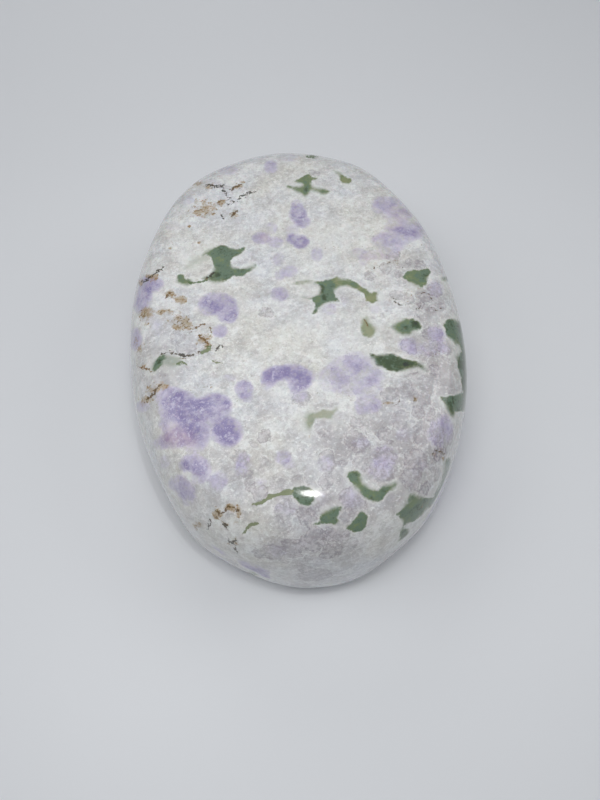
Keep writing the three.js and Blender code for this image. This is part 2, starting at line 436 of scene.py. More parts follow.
# %% Green veins and dark seams: a tone, then points with their half widths in millimetres
LINES = [  # tones: 0 is a dark seam, 0.4 is brown, 0.7 is dark green and 1 is olive
    (0.75, (207, 280, 0.25), (198, 282, 0.16), (190, 282, 0.3)),
    (0, (205, 279, 0.06), (210, 277, 0.16), (215, 273, 0.1)),
    (0.8, (306, 156, 0.1), (313, 156, 0.2), (319, 157, 0.06)),
    (1, (251, 505, 0.08), (257, 504, 0.2), (264, 500, 0.32), (272, 496, 0.36)),
    (1, (272, 496, 0.36), (281, 493, 0.36), (291, 491, 0.5)),
    (1, (243, 534, 0.1), (247, 528, 0.2), (251, 525, 0.3), (258, 524, 0.22)),
    (0.5, (139, 366, 0.06), (145, 368, 0.12), (152, 370, 0.16)),
    (0.22, (161, 354, 0.2), (166, 352, 0.12), (172, 353, 0.1), (179, 354, 0.13)),
    (0.1, (179, 354, 0.12), (182, 356, 0.2), (186, 356, 0.15)),
    (0.22, (186, 356, 0.15), (192, 355, 0.12), (200, 353, 0.12)),
    (0.95, (198, 354, 0.16), (204, 352, 0.26), (209, 350, 0.22), (210, 345, 0.12)),
    (0.9, (177, 364, 0.2), (182, 362, 0.24), (187, 364, 0.14)),
    (1, (210, 360, 0.08), (216, 363, 0.17), (223, 362, 0.05)),
    (0.1, (215, 350, 0.17), (218, 348, 0.15), (222, 346, 0.18), (227, 347, 0.14)),
    (0.4, (190, 333, 0.02), (196, 328, 0.08), (200, 326, 0.16), (205, 325, 0.18)),
    (0.6, (209, 328, 0.16), (211, 333, 0.14)),
    (0.4, (199, 335, 0.14), (203, 339, 0.26), (206, 342, 0.14)),
    (0.5, (207, 342, 0.2), (210, 346, 0.18)),
    (0.1, (206, 185, 0.08), (211, 186, 0.16), (217, 187, 0.12), (223, 185, 0.16)),
    (0, (222, 190, 0.08), (226, 193, 0.12), (227, 197, 0.1), (232, 198, 0.06)),
    (0.3, (230, 190, 0.14), (235, 187, 0.22), (241, 186, 0.16)),
    (0, (238, 197, 0.1), (245, 195, 0.18), (249, 192, 0.16), (256, 192, 0.12)),
    (0.1, (227, 204, 0.07), (233, 202, 0.1), (240, 201, 0.07)),
    (0.4, (218, 203, 0.18), (222, 201, 0.14)),
    (0, (222, 215, 0.18), (224, 218, 0.16)),
    (0.3, (231, 216, 0.2), (234, 214, 0.16), (237, 210, 0.08)),
    (0.1, (139, 283, 0.06), (147, 280, 0.12), (154, 275, 0.14), (158, 271, 0.18), (164, 266, 0.08)),
    (0.4, (165, 298, 0.1), (168, 294, 0.18), (172, 293, 0.1)),
    (0.3, (146, 402, 0.1), (150, 396, 0.22), (155, 391, 0.18), (162, 384, 0.2)),
    (0.1, (209, 519, 0.14), (209, 523, 0.16), (208, 529, 0.1)),
    (0.2, (224, 523, 0.22), (226, 525, 0.28), (228, 528, 0.14)),
    (0.1, (229, 540, 0.14), (233, 543, 0.16), (235, 539, 0.16)),
    (0.2, (234, 549, 0.14), (237, 553, 0.12)),
    (0.4, (364, 318, 0.04), (367, 322, 0.06), (370, 327, 0)),
    (0.3, (367, 276, -0.02), (372, 270, 0.02), (380, 266, 0.01), (389, 262, 0)),
    (0.3, (389, 262, 0), (397, 263, 0.02), (403, 267, 0.01), (402, 273, 0)),
    (0.2, (393, 296, 0), (396, 301, 0.04), (399, 305, 0.02), (406, 306, 0)),
    (0.2, (408, 307, 0.01), (414, 309, 0.05), (420, 307, 0.05), (423, 302, 0.01)),
    (0.3, (420, 293, 0), (427, 292, 0.02), (432, 296, 0.02), (430, 303, 0)),
    (0.3, (428, 307, 0), (436, 309, 0.02), (443, 307, 0)),
    (0.3, (424, 352, 0), (431, 356, 0.02), (439, 354, 0.02), (443, 347, 0)),
    (0.3, (385, 400, 0), (391, 406, 0.02), (398, 404, 0.02), (400, 397, 0)),
    (0.3, (432, 455, 0.03), (437, 451, 0.1), (444, 453, 0.1), (444, 461, 0.03)),
    (0.3, (215, 512, 0.1), (219, 515, 0.18), (224, 511, 0.08), (232, 507, 0.15), (238, 512, 0.06)),
]
LINE_REACH_MM = 0.45  # past this, a point is told that there is no line, so that two lines never mix
LINE_FALL = 4  # how fast the width then falls
FAR_MM = 9.0  # stands for far from anything


def line_fields():
    """For the nearest line: the signed distance across it, its half width there, and its tone. The width
    falls below zero past the line's ends, far from the line, and where the picture ends."""
    best = np.full(len(stone), np.inf)
    across, width, tone = np.full(len(stone), FAR_MM), np.full(len(stone), -1.0), np.zeros(len(stone))
    for line_tone, *points in LINES:
        places, half_widths = np.split(np.array(points, float), [2], axis=1)
        for a, b, from_width, to_width in zip(places, places[1:], half_widths, half_widths[1:]):
            length = np.linalg.norm(b - a)
            ahead = (b - a) / length
            along = (shown_at - a) @ ahead
            sideways = (shown_at - a) @ (-ahead[1], ahead[0]) * mm_per_pixel
            past = np.maximum(-along, along - length).clip(0) * mm_per_pixel
            away = np.hypot(past, sideways)
            share = (along / length).clip(0, 1)
            here = from_width + share * (to_width - from_width) - past
            here -= LINE_FALL * (away - LINE_REACH_MM).clip(0) + END_TAPER_MM * unseen
            nearer = away < best
            best, across = np.where(nearer, away, best), np.where(nearer, sideways, across)
            width, tone = np.where(nearer, here, width), np.where(nearer, line_tone, tone)
    return across, width.clip(-1), tone


line_across, line_width, line_tone = line_fields()
print("lines:", len(LINES), "with", sum(len(row) - 2 for row in LINES), "stretches")

# %% [markdown]
# Lilac colour fades in and out like cloud, deeper where several clouds overlap. Adding the clouds up
# would make hard middles. Each one hides a share of what the others leave clear, which never passes one.

# %% The lilac clouds: pixel, half sizes in millimetres, strength
LILAC = [
    (208, 307, 1.5, 1.3, 0.62), (217, 303, 2.4, 1.5, 0.75), (227, 309, 1.6, 1.8, 0.8),
    (231, 316, 0.9, 0.9, 0.7), (220, 331, 1.1, 0.9, 0.65), (280, 294, 1.4, 1, 0.75),
    (297, 206, 1, 1, 0.6), (298, 214, 1.3, 1.3, 0.85), (303, 222, 1.2, 0.9, 0.65),
    (292, 239, 0.9, 0.8, 0.9), (301, 242, 1.2, 1, 1.1), (317, 254, 0.9, 1.1, 0.45),
    (261, 238, 1.4, 0.9, 0.7), (276, 242, 1.3, 0.9, 0.55), (272, 228, 0.9, 1, 0.4),
    (279, 259, 0.9, 1.1, 0.45), (289, 271, 1.3, 0.9, 0.6), (280, 275, 0.8, 0.8, 0.4),
    (271, 167, 1.2, 1.1, 0.6), (228, 170, 1.7, 0.8, 0.4), (288, 158, 2, 0.7, 0.3),
    (292, 232, 1.1, 1.2, 0.3), (173, 226, 1.4, 1, 0.2), (384, 203, 2, 1.1, 0.5),
    (378, 208, 1, 0.9, 0.5), (396, 207, 2, 1.5, 0.42), (404, 214, 1.6, 1, 0.4),
    (389, 214, 1.3, 0.9, 0.3), (398, 226, 2, 1.1, 0.42), (409, 229, 2.2, 1.4, 0.36),
    (399, 235, 2.8, 1.4, 0.5), (384, 240, 2, 1.1, 0.45), (392, 246, 2.2, 0.9, 0.4),
    (419, 229, 1.4, 1.5, 0.4), (358, 253, 1.2, 0.8, 0.35), (375, 255, 2.4, 0.8, 0.3),
    (390, 254, 1.5, 0.8, 0.3), (364, 261, 0.9, 0.8, 0.25), (436, 289, 1.2, 1.4, 0.4),
    (150, 284, 1.8, 1.2, 0.85), (144, 297, 1.2, 1.6, 0.75), (139, 305, 0.9, 1.2, 0.6),
    (135, 339, 1, 1.6, 0.75), (157, 327, 0.9, 1.4, 0.3), (142, 407, 1.1, 0.8, 0.5),
    (188, 200, 1.2, 0.8, 0.25), (210, 183, 2.2, 0.8, 0.2), (171, 397, 2, 1.3, 0.9),
    (178, 407, 1.8, 1.4, 0.7), (181, 402, 1.9, 1.5, 0.95), (168, 409, 1.3, 1.3, 0.8),
    (184, 412, 2.1, 1.5, 1), (201, 408, 1.7, 1.4, 0.8), (215, 404, 2, 1.4, 0.9),
    (222, 409, 1.3, 1.3, 0.7), (205, 415, 1.3, 1, 0.65), (176, 424, 2.1, 1.5, 0.85),
    (190, 425, 2, 1.5, 0.8), (199, 433, 1.6, 1.7, 0.65), (184, 436, 2.1, 1.4, 0.75),
    (172, 440, 1.9, 1.1, 0.75), (195, 444, 1.5, 1.3, 0.55), (160, 444, 1, 0.8, 0.4),
    (212, 421, 1, 0.9, 0.35), (224, 427, 1.5, 1.4, 1), (231, 431, 1.5, 1.6, 1),
    (228, 439, 1.2, 1.1, 0.75), (218, 436, 0.9, 0.9, 0.5), (194, 463, 1.8, 1.1, 0.85),
    (202, 469, 1.2, 1.1, 0.75), (200, 476, 1.1, 1, 0.6), (186, 466, 0.9, 0.7, 0.5),
    (218, 481, 1.2, 1.1, 0.65), (178, 483, 1.3, 1.1, 0.55), (186, 490, 1.5, 1.2, 0.5),
    (188, 498, 1.2, 1.1, 0.4), (244, 463, 1, 1.3, 0.55), (241, 469, 0.8, 0.8, 0.4),
    (244, 389, 1.2, 1.2, 0.85), (247, 397, 0.9, 0.8, 0.4), (229, 378, 1, 0.6, 0.3),
    (261, 483, 0.9, 0.8, 0.3), (164, 462, 0.9, 1, 0.25), (270, 377, 1.2, 1.2, 0.75),
    (279, 373, 1.7, 1, 0.95), (292, 373, 2, 1.2, 1), (301, 379, 1.5, 1.4, 1),
    (296, 385, 1.1, 0.9, 0.7), (309, 376, 0.9, 1, 0.5), (299, 395, 1.2, 1, 0.4),
    (267, 384, 0.8, 0.9, 0.35), (333, 378, 2.2, 1.8, 0.35), (345, 368, 2.2, 1.8, 0.35),
    (358, 362, 2, 1.5, 0.4), (367, 372, 2.2, 1.8, 0.32), (350, 384, 2.6, 1.6, 0.32),
    (369, 388, 1.9, 1.4, 0.3), (377, 379, 1.3, 1.2, 0.25), (368, 404, 1.8, 1.3, 0.42),
    (361, 410, 0.9, 0.7, 0.35), (376, 405, 0.9, 0.8, 0.35), (408, 345, 1.4, 1.2, 0.48),
    (416, 349, 1.1, 1, 0.35), (436, 333, 1.3, 1.2, 0.45), (441, 336, 0.8, 0.8, 0.35),
    (433, 348, 1.9, 1.3, 0.35), (446, 347, 0.9, 0.9, 0.3), (329, 309, 1.1, 0.9, 0.35),
    (345, 302, 1.5, 0.8, 0.2), (375, 309, 0.9, 0.7, 0.25), (440, 433, 1.7, 1.9, 0.5),
    (446, 424, 1, 1.3, 0.45), (404, 435, 1.2, 0.9, 0.3), (283, 457, 1.1, 0.9, 0.55),
    (289, 464, 0.9, 0.7, 0.4), (384, 456, 1.8, 1.6, 0.35), (381, 469, 1.7, 1.4, 0.35),
    (361, 443, 1.3, 0.8, 0.3), (325, 464, 1.2, 1.1, 0.3), (352, 498, 1.6, 1.4, 0.35),
    (321, 499, 1.1, 0.9, 0.25), (285, 508, 1.5, 1, 0.3), (294, 545, 2.6, 1.6, 0.14),
    (332, 535, 1.9, 1.1, 0.15), (275, 549, 1.6, 1.3, 0.18), (420, 470, 1.2, 1.6, 0.2),
]
MOST_DYED = 0.72  # what a cloud of strength one hides at its middle
DYE_FALL = 2.2  # how fast that falls towards its edge
DYE_AT_EDGE = 0.4  # the share that is left there
clear = np.ones(len(stone))
for *oval, strength in LILAC:
    clear *= 1 - strength * (cloud(*oval) * DYE_FALL + DYE_AT_EDGE).clip(0, 1) * MOST_DYED
seen_lilac = 1 - clear
print("lilac clouds:", len(LILAC), "strongest", seen_lilac.max().round(2))

# %% [markdown]
# Rust sits in small clusters of brown grains on a tan stain. The cloud says how thick the grains are, and
# the material scatters them.

# %% Rust: pixel, half sizes in millimetres, and a strength for the faint ones
RUST = [
    (203, 208, 1.9, 1.25), (197, 211, 0.7, 0.6), (208, 188, 1.1, 0.5), (236, 187, 0.8, 0.4),
    (243, 182, 0.4, 0.3), (221, 202, 0.6, 0.5), (233, 214, 0.8, 0.8), (183, 321, 1.5, 1),
    (178, 326, 0.7, 0.6), (148, 314, 1, 1.1), (168, 294, 1, 0.6), (160, 313, 0.6, 0.4),
    (170, 312, 0.6, 0.4), (203, 338, 0.9, 0.9), (208, 345, 0.7, 0.7), (161, 386, 0.9, 0.5),
    (153, 391, 1, 0.7), (148, 399, 0.9, 0.7), (143, 367, 0.9, 0.4), (152, 276, 0.8, 0.6),
    (218, 514, 0.75, 0.65), (232, 508, 0.85, 0.55), (238, 514, 0.5, 0.6), (226, 526, 0.7, 0.6),
    (197, 526, 0.7, 0.5), (233, 541, 0.6, 0.5), (182, 300, 0.9, 0.6), (415, 400, 0.4, 0.4),
    (389, 403, 0.9, 0.2), (166, 207, 0.9, 0.4), (140, 283, 0.7, 0.6),
    (170, 248, 0.25, 0.2), (199, 243, 0.2, 0.2), (182, 235, 0.2, 0.15), (238, 246, 0.2, 0.2),
    (196, 183, 1.3, 0.4), (189, 226, 0.3, 0.2),
]
STAINS = [  # faint ones, where hardly any grains show
    (438, 457, 1.3, 1.2, 0.3), (176, 192, 4, 1.6, 0.3), (152, 232, 1.6, 3.5, 0.2),
    (420, 292, 2.5, 1.5, 0.2), (140, 345, 1.5, 3, 0.2), (410, 262, 3, 1.2, 0.2),
]
tops = [(*oval, 1) for oval in RUST] + STAINS
seen_rust = np.max([cloud(*oval) - 1 + top for *oval, top in tops], axis=0)
print("rust clusters:", len(RUST), "and faint stains:", len(STAINS))

# %% [markdown]
# The white isn't one white. Broad parts of it are creamy and others are cold, which is easy to see when
# the picture's colour differences are made stronger.

# %% Warm and cold parts of the white: pixel, half sizes in millimetres, strength (below 0 is cold)
WARMTH = [
    (255, 340, 7, 5, 0.8), (300, 345, 6, 4, 0.5), (362, 310, 4, 7, 0.7), (350, 225, 6, 10, 0.5),
    (190, 232, 6, 8, 0.5), (250, 455, 6, 8, 0.6), (235, 540, 8, 5, 0.8), (415, 280, 8, 5, 0.6),
    (270, 182, 5, 4, 0.5), (150, 350, 4, 6, 0.5), (290, 412, 8, 6, -0.8), (310, 468, 10, 8, -0.7),
    (262, 275, 6, 5, -0.6), (230, 225, 6, 5, -0.5), (400, 440, 8, 8, -0.3), (335, 345, 4, 4, -0.5),
    (330, 250, 4, 6, -0.3), (172, 437, 3.5, 2.5, 1), (196, 441, 3, 2, 0.6), (262, 238, 2.5, 2, 0.9),
    (385, 257, 5, 1.6, 1), (329, 309, 3, 2, 0.8), (403, 218, 6, 5, 0.6),
]


def added_up(rows):
    """Clouds added up, each by its own strength, which may be below zero."""
    return sum(cloud(*oval).clip(0) * strength for *oval, strength in rows)


warmth = added_up(WARMTH).clip(-1, 1) * (1 - unseen)
print("warmth from", warmth.min().round(2), "to", warmth.max().round(2))

# %% [markdown]
# The rock is a mass of rounded nodules with pale rims, filled with white, grey or lilac. A nodule could
# be drawn as a circle on the face, but it would stop at the rim. Each is a ball in the rock instead, cut
# by the surface, so it carries on over the edge. The clearest ones are listed, from the picture.

# %% Bend the rock a little, so that no nodule is a true ball
SEED = 11
rng = np.random.default_rng(SEED)
BEND_MM = 0.32


def slow_waves(length_mm, count=7, reach=1.8):
    """A smooth field of about -1 to 1: the mean of sine waves in random directions, times reach."""
    waves = rng.normal(size=(count, 3)) * 2 * math.pi / length_mm / math.sqrt(3)
    return reach * np.sin(stone @ waves.T + rng.uniform(0, 2 * math.pi, count)).mean(1)


bent = stone + BEND_MM * np.stack([slow_waves(3.2) for _ in range(3)], 1)
print("points are bent by up to", np.linalg.norm(bent - stone, axis=1).max().round(2), "mm")

# %% The nodules that the picture shows: pixel, radius in millimetres, how grey the filling is
NODULES = [
    (203, 269, 1.35, 0.1), (240, 262, 1.25, 0.05), (311, 290, 1.2, 0.05), (329, 311, 1.35, 0.1),
    (348, 296, 1.5, 0.1), (300, 362, 1.3, 0.25), (300, 399, 1.2, 0.4), (266, 312, 1, 0.55),
    (388, 393, 1.2, 0.5), (406, 391, 1.3, 0.45), (409, 346, 1.3, 0.5), (430, 349, 1.2, 0.5),
    (444, 348, 1.1, 0.5), (433, 334, 1.4, 0.6), (420, 412, 1.1, 0.55), (430, 414, 1, 0.5),
    (440, 433, 1.5, 0.6), (448, 414, 1.1, 0.4), (314, 172, 0.9, 0.5), (320, 182, 0.85, 0.3),
    (370, 276, 0.9, 0.5), (387, 268, 1, 0.4), (408, 263, 0.9, 0.5), (436, 290, 1.2, 0.5),
    (396, 294, 1, 0.4), (410, 298, 0.9, 0.45), (421, 305, 0.7, 0.8), (443, 306, 1, 0.4),
    (430, 310, 0.8, 0.35), (309, 517, 1.4, 0.55), (325, 503, 1.5, 0.3), (352, 501, 1.8, 0.55),
    (345, 518, 1.1, 0.25), (385, 458, 1.6, 0.5), (384, 472, 1.5, 0.45), (370, 484, 1, 0.05),
    (391, 500, 1, 0), (401, 494, 1, 0), (415, 460, 1.8, 0.6), (412, 479, 1.8, 0.55),
    (424, 490, 1.3, 0.8), (390, 443, 0.75, 0.6), (439, 457, 1, 0.9), (336, 533, 1.7, 0.7),
    (313, 541, 1.9, 0.7), (293, 548, 1.8, 0.6), (276, 552, 1.6, 0.45), (331, 551, 1.7, 0.6),
    (350, 545, 1.2, 0.4), (284, 512, 1.4, 0.4), (361, 444, 1.3, 0.5), (327, 463, 1.4, 0.4),
    (228, 515, 0.8, 0.3), (401, 421, 1.3, 0.35), (376, 424, 1.2, 0.2), (353, 437, 1.2, 0.3),
    (421, 433, 1.3, 0.45), (402, 371, 1.1, 0.15), (429, 384, 1.5, 0.2), (448, 381, 1.4, 0.15),
    (229, 433, 2.2, 0), (224, 306, 2.2, 0), (184, 404, 2.3, 0), (215, 404, 1.9, 0),
    (181, 428, 2.5, 0), (244, 390, 1.4, 0), (195, 466, 1.8, 0), (218, 481, 1.2, 0.1),
    (184, 490, 1.6, 0.1), (280, 294, 1.4, 0), (340, 378, 1.6, 0.05), (353, 367, 1.5, 0.05),
    (367, 363, 1.2, 0.05), (379, 379, 1.6, 0.1), (362, 385, 1.6, 0.05), (366, 406, 1.3, 0.1),
    (282, 458, 1.3, 0.15), (262, 238, 1.5, 0.05), (300, 242, 1.2, 0), (298, 211, 1.6, 0),
]
# The rows at the near end and the left middle are partly painted shade, besides the grey of crowded
# nodules.
MASSES_AND_SHADE = [  # pixel, half sizes in millimetres, strength: where nodules crowd and the rock is greyer
    (428, 425, 7, 13, 0.9), (300, 548, 11, 5, 0.5), (350, 512, 8, 6, 0.6), (428, 315, 5, 8, 0.7),
    (385, 468, 8, 8, 1), (408, 278, 6, 6, 0.65), (305, 480, 8, 5, 0.5), (185, 340, 7, 9, 0.3),
    (425, 350, 6, 5, 0.75), (352, 452, 7, 5, 0.8), (395, 432, 7, 7, 0.85), (245, 462, 7, 9, 0.5),
]
seen_mass_and_shade = np.max([strength * cloud(*oval) for *oval, strength in MASSES_AND_SHADE], axis=0).clip(0, 1)
middles = [bent[point_at(pixel)] for *pixel, _, _ in NODULES]
*_, radii, greys = map(list, zip(*NODULES))
lilacs = [0] * len(NODULES)
print("nodules placed by hand:", len(NODULES))

# %% [markdown]
# Small nodules fill in between those, and the side and the underside, which the picture doesn't show, get
# the same kinds in a layout of their own. They are scattered from a fixed seed, so that every run makes
# the same stone.

# %% Scatter the other nodules
CLEARANCE = 0.45  # how far a ball's middle stays out of the others, in its own radii
LILAC_STRENGTHS = (0.6, 1)


def scatter(allowed, tries, sizes, grey_range, lilac_chance):
    """Balls on mesh points picked where a mask is set. One whose middle is in another, or close to it, is
    dropped. Each mesh point has its own chance that a ball is lilac, so that lilac ones keep together."""
    for pick in rng.choice(np.flatnonzero(allowed), tries):
        radius, grey = rng.uniform(*sizes), rng.uniform(*grey_range)
        lilac_draw, lilac_strength = rng.random(), rng.uniform(*LILAC_STRENGTHS)
        outside = np.linalg.norm(np.array(middles) - bent[pick], axis=1) - np.array(radii)
        if outside.min() > CLEARANCE * radius:
            middles.append(bent[pick])
            radii.append(radius)
            greys.append(max(grey, 0))
            lilacs.append(lilac_strength if lilac_draw < lilac_chance[pick] else 0)


crowded = (seen_mass_and_shade > 0.25) & (unseen < 0.3)
scatter(crowded, 150, sizes=(0.6, 1.3), grey_range=(0.2, 0.6), lilac_chance=np.zeros(len(stone)))
seen_count = len(middles)
lilac_areas = 0.05 + 0.8 * ((slow_waves(13) - 0.15) * 3).clip(0, 1)
scatter(unseen > 0.45, 3000, sizes=(0.8, 2.6), grey_range=(-0.8, 0.7), lilac_chance=lilac_areas)
print("scattered where seen:", seen_count - len(NODULES), "on the hidden sides:", len(middles) - seen_count)

# %% [markdown]
# A point is inside one ball, between two, or in a gap. Half the difference between the two deepest balls
# is the distance to the wall that they share, so pale rims also show where nodules touch.

# %% How deep each point is in its nodule
ON_WALL_MM = 0.02  # how deep a point counts on a shared wall


def deepest(middles, radii):
    """How deep a point is in the ball that it is deepest in, and in the next; and the first's number."""
    best, following = np.full((2, len(stone)), -FAR_MM)
    which = np.zeros(len(stone), int)
    for number, (middle, radius) in enumerate(zip(middles, radii)):
        depth = radius - np.linalg.norm(bent - middle, axis=1)
        deeper = depth > best
        following = np.where(deeper, best, np.maximum(following, depth))
        which[deeper] = number
        best = np.maximum(best, depth)
    return best, following, which


best, following, which = deepest(middles, radii)
nodule_depth = np.minimum(best, (best - following) / 2 + ON_WALL_MM)
nodule_grey = np.array(greys)[which]
print("inside a nodule:", (best > 0).mean().round(3), "of the points")

# %% [markdown]
# On the hidden sides the green fills the gaps between nodules, as it does on the face, but only in a few
# areas. Slow waves choose them, and others choose where rust lies.

# %% The hidden sides
KEPT_OFF = 8  # how strongly these marks are kept off what the camera sees
GAP_MM = 0.05  # what green leaves free round a nodule
GREEN_LEVEL = 0.1  # the height above which slow waves hold green
RUST_LEVEL = 0.75
shown = KEPT_OFF * toward_camera.clip(0)
green_areas = (slow_waves(11) - shown - GREEN_LEVEL) * 3
side_edge = (unseen - 0.5 + 0.5 * slow_waves(5)) * 4
hidden_green = np.minimum.reduce([-best - GAP_MM, green_areas, side_edge])
in_picture = seen_green > hidden_green
green = np.maximum(seen_green, hidden_green)
green_tone = np.where(in_picture, seen_tone, 0.5 + 0.4 * slow_waves(12))
green_strength = np.where(in_picture, seen_strength, 1)
hidden_lilac = np.array(lilacs)[which] * (best * 0.8 + 0.35).clip(0, 1) * unseen
lilac = np.maximum(seen_lilac * (1 - unseen), hidden_lilac)
hidden_rust = np.where(unseen > 0.5, 1.2 * slow_waves(9) - RUST_LEVEL - shown, -1)
rust = np.maximum(seen_rust, hidden_rust).clip(-1, 1)
mass_and_painted_shading = np.maximum(seen_mass_and_shade * (1 - unseen), (0.2 + slow_waves(22)).clip(0, 1) * unseen)
print("green on the hidden sides:", (hidden_green > 0).mean().round(3), "of the points")

# %% [markdown]
# The white is not equally bright either. Some parts are greyer than the rest, though no nodules crowd
# there, partly from the rock's own grey and partly as painted shade towards the near end and the sides.
# Others get painted light on the middle and far half of the face, and are the whitest of all.

# %% Greyer and whiter parts: pixel, half sizes in millimetres, strength (below 0 is whiter)
# Above 0 is partly the rock's grey and partly painted shade; below 0 is painted light on the middle and far
# half of the face.
GREYNESS_AND_PAINTED_SHADING = [
    (162, 378, 4, 7, 0.8), (190, 457, 5, 4, 0.4), (326, 504, 6, 5, 0.4), (330, 425, 6, 5, 0.4),
    (404, 487, 4, 4, 0.35), (275, 506, 7, 4, 0.3), (446, 368, 3, 5, 0.6), (412, 452, 3, 3, 0.5),
    (268, 399, 5, 3, 0.4), (384, 332, 4, 3, 0.4), (330, 243, 7, 5, -0.8), (300, 327, 4, 4, -0.7),
    (350, 345, 5, 6, -0.8), (308, 384, 4, 3, -0.9), (240, 222, 6, 4, -0.4), (242, 300, 3, 4, -0.7),
    (400, 294, 4, 3, -0.4),
]
# So the mark also carries painted shade and painted light, besides the grey where nodules crowd.
mass_and_painted_shading += added_up(GREYNESS_AND_PAINTED_SHADING) * (1 - unseen)
print("greyness from", mass_and_painted_shading.min().round(2), "to", mass_and_painted_shading.max().round(2))

# %% [markdown]
# The surface now goes into Blender, with its marks as numbers on its points. The material reads them by
# name.

# %% The stone's mesh
MARKS = {
    "green_mm": green, "green_tone": green_tone, "green_strength": green_strength, "lilac": lilac,
    "line_across": line_across, "line_width": line_width, "line_tone": line_tone, "rust": rust,
    "nodule_mm": nodule_depth, "nodule_grey": nodule_grey, "mass_and_painted_shading": mass_and_painted_shading, "warmth": warmth,
}


def smooth_piece(name, points, faces):
    """An object with smooth shading, from points in metres and the numbers of each face's corners."""
    mesh = bpy.data.meshes.new(name)
    mesh.from_pydata(points.tolist(), [], faces)
    mesh.polygons.foreach_set("use_smooth", np.ones(len(faces), bool))
    mesh.update()
    return placed(name, mesh)


piece = smooth_piece("polished_stone", stone * MM, quads.tolist())
for name, values in MARKS.items():
    numbers = piece.data.attributes.new(name, "FLOAT", "POINT").data
    numbers.foreach_set("value", values.astype(np.float32))
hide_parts("palm_stone")
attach(piece, "root")
print("numbers on the points:", sorted(MARKS))

# %% [markdown]
# Shader sums are easier to read as sums than as wires. They could be wired by hand, node by node. A small
# class wraps a socket instead, and adding or multiplying it adds the Math node.

# %% Sums with sockets


class Value:
    """A node's output, which can be used in sums. Each sum adds a Math node."""

    def __init__(self, shader, socket):
        self.shader, self.socket = shader, socket

    def sum(self, operation, first, second=0):
        return self.shader.node("Math", {0: first, 1: second}, operation=operation)

    def __add__(self, other):
        return self.sum("ADD", self, other)

    def __sub__(self, other):
        return self.sum("SUBTRACT", self, other)

    def __rsub__(self, other):
        return self.sum("SUBTRACT", other, self)

    def __mul__(self, other):
        return self.sum("MULTIPLY", self, other)

    def __abs__(self):
        return self.sum("ABSOLUTE", self)

    __radd__, __rmul__ = __add__, __mul__

    def fade(self, low, high):
        """0 below low, 1 above high, and smooth between. With low above high it runs the other way."""
        inputs = {"Value": self, "From Min": low, "From Max": high}
        return self.shader.node("MapRange", inputs, interpolation_type="SMOOTHSTEP", clamp=True)


print("a value can:", [name for name, method in vars(Value).items() if callable(method)])

# %% [markdown]
# A second class holds a material. Each kind of node could have its own lines of code, but all of them are
# made, set and linked in the same way, so one method makes every kind.

# %% A material and its nodes


class Shader:
    """A material's node tree."""

    def __init__(self, name):
        self.material = bpy.data.materials.new(name)
        self.material.use_nodes = True
        self.tree = self.material.node_tree
        self.tree.nodes.clear()

    def node(self, kind, inputs=None, output=0, **settings):
        """Makes a node: its settings first, then its sockets' values or links, and gives one output."""
        made = self.tree.nodes.new("ShaderNode" + kind)
        for name, value in settings.items():
            setattr(made, name, value)
        for name, value in (inputs or {}).items():
            if isinstance(value, Value):
                self.tree.links.new(value.socket, made.inputs[name])
            else:
                made.inputs[name].default_value = value
        return Value(self, made.outputs[output]) if made.outputs else None

    def mark(self, name):
        """One of the numbers on the points."""
        return self.node("Attribute", output="Fac", attribute_name=name)

    def mix(self, share, first, second):
        """Sockets 6 and 7 of a Mix node are its two colours, and output 2 is the mixed one."""
        return self.node("Mix", {0: share, 6: first, 7: second}, output=2, data_type="RGBA")

    def paint(self, under, *coats):
        """Lays coats over a colour in turn. A coat is the share it hides, then its red, green and blue."""
        for share, *shade in coats:
            under = self.mix(share, under, colour(*shade))
        print("coats:", len(coats))
        return under

    def noise(self, where, size_mm, detail, roughness=0.55):
        """Cloudy noise about zero, whose spread is one: an octave spreads by an eighth, and octaves whose
        strengths fall by roughness add up as the root of their squares over their sum."""
        strengths = roughness ** np.arange(detail + 1)
        spread = 0.125 * math.sqrt(float((strengths**2).sum())) / float(strengths.sum())
        inputs = {"Vector": where, "Scale": 1 / size_mm, "Detail": detail, "Roughness": roughness}
        return (self.node("TexNoise", inputs) - 0.5) * (1 / spread)

    def cover(self, thing, inputs):
        """Ends the material in one surface and puts it on an object."""
        self.node("OutputMaterial", {"Surface": self.node("BsdfPrincipled", inputs)})
        thing.data.materials.append(self.material)


def colour(red, green_share, blue):
    """A colour as a picture program shows it, 0 to 255, turned to the linear shares that shaders use."""
    shares = np.array([red, green_share, blue]) / 255
    linear = np.where(shares <= 0.04045, shares / 12.92, ((shares + 0.055) / 1.055) ** 2.4)
    return (*linear.tolist(), 1)


print("mid grey is", np.round(colour(128, 128, 128)[0], 3))

# %% [markdown]
# The rock's texture has no single scale: clouds, curds and grains are about equally strong, from a few
# millimetres down to a tenth. So the main noise keeps nearly the same strength in every octave. It is
# drawn out along one direction, as the rock's own weak banding is.

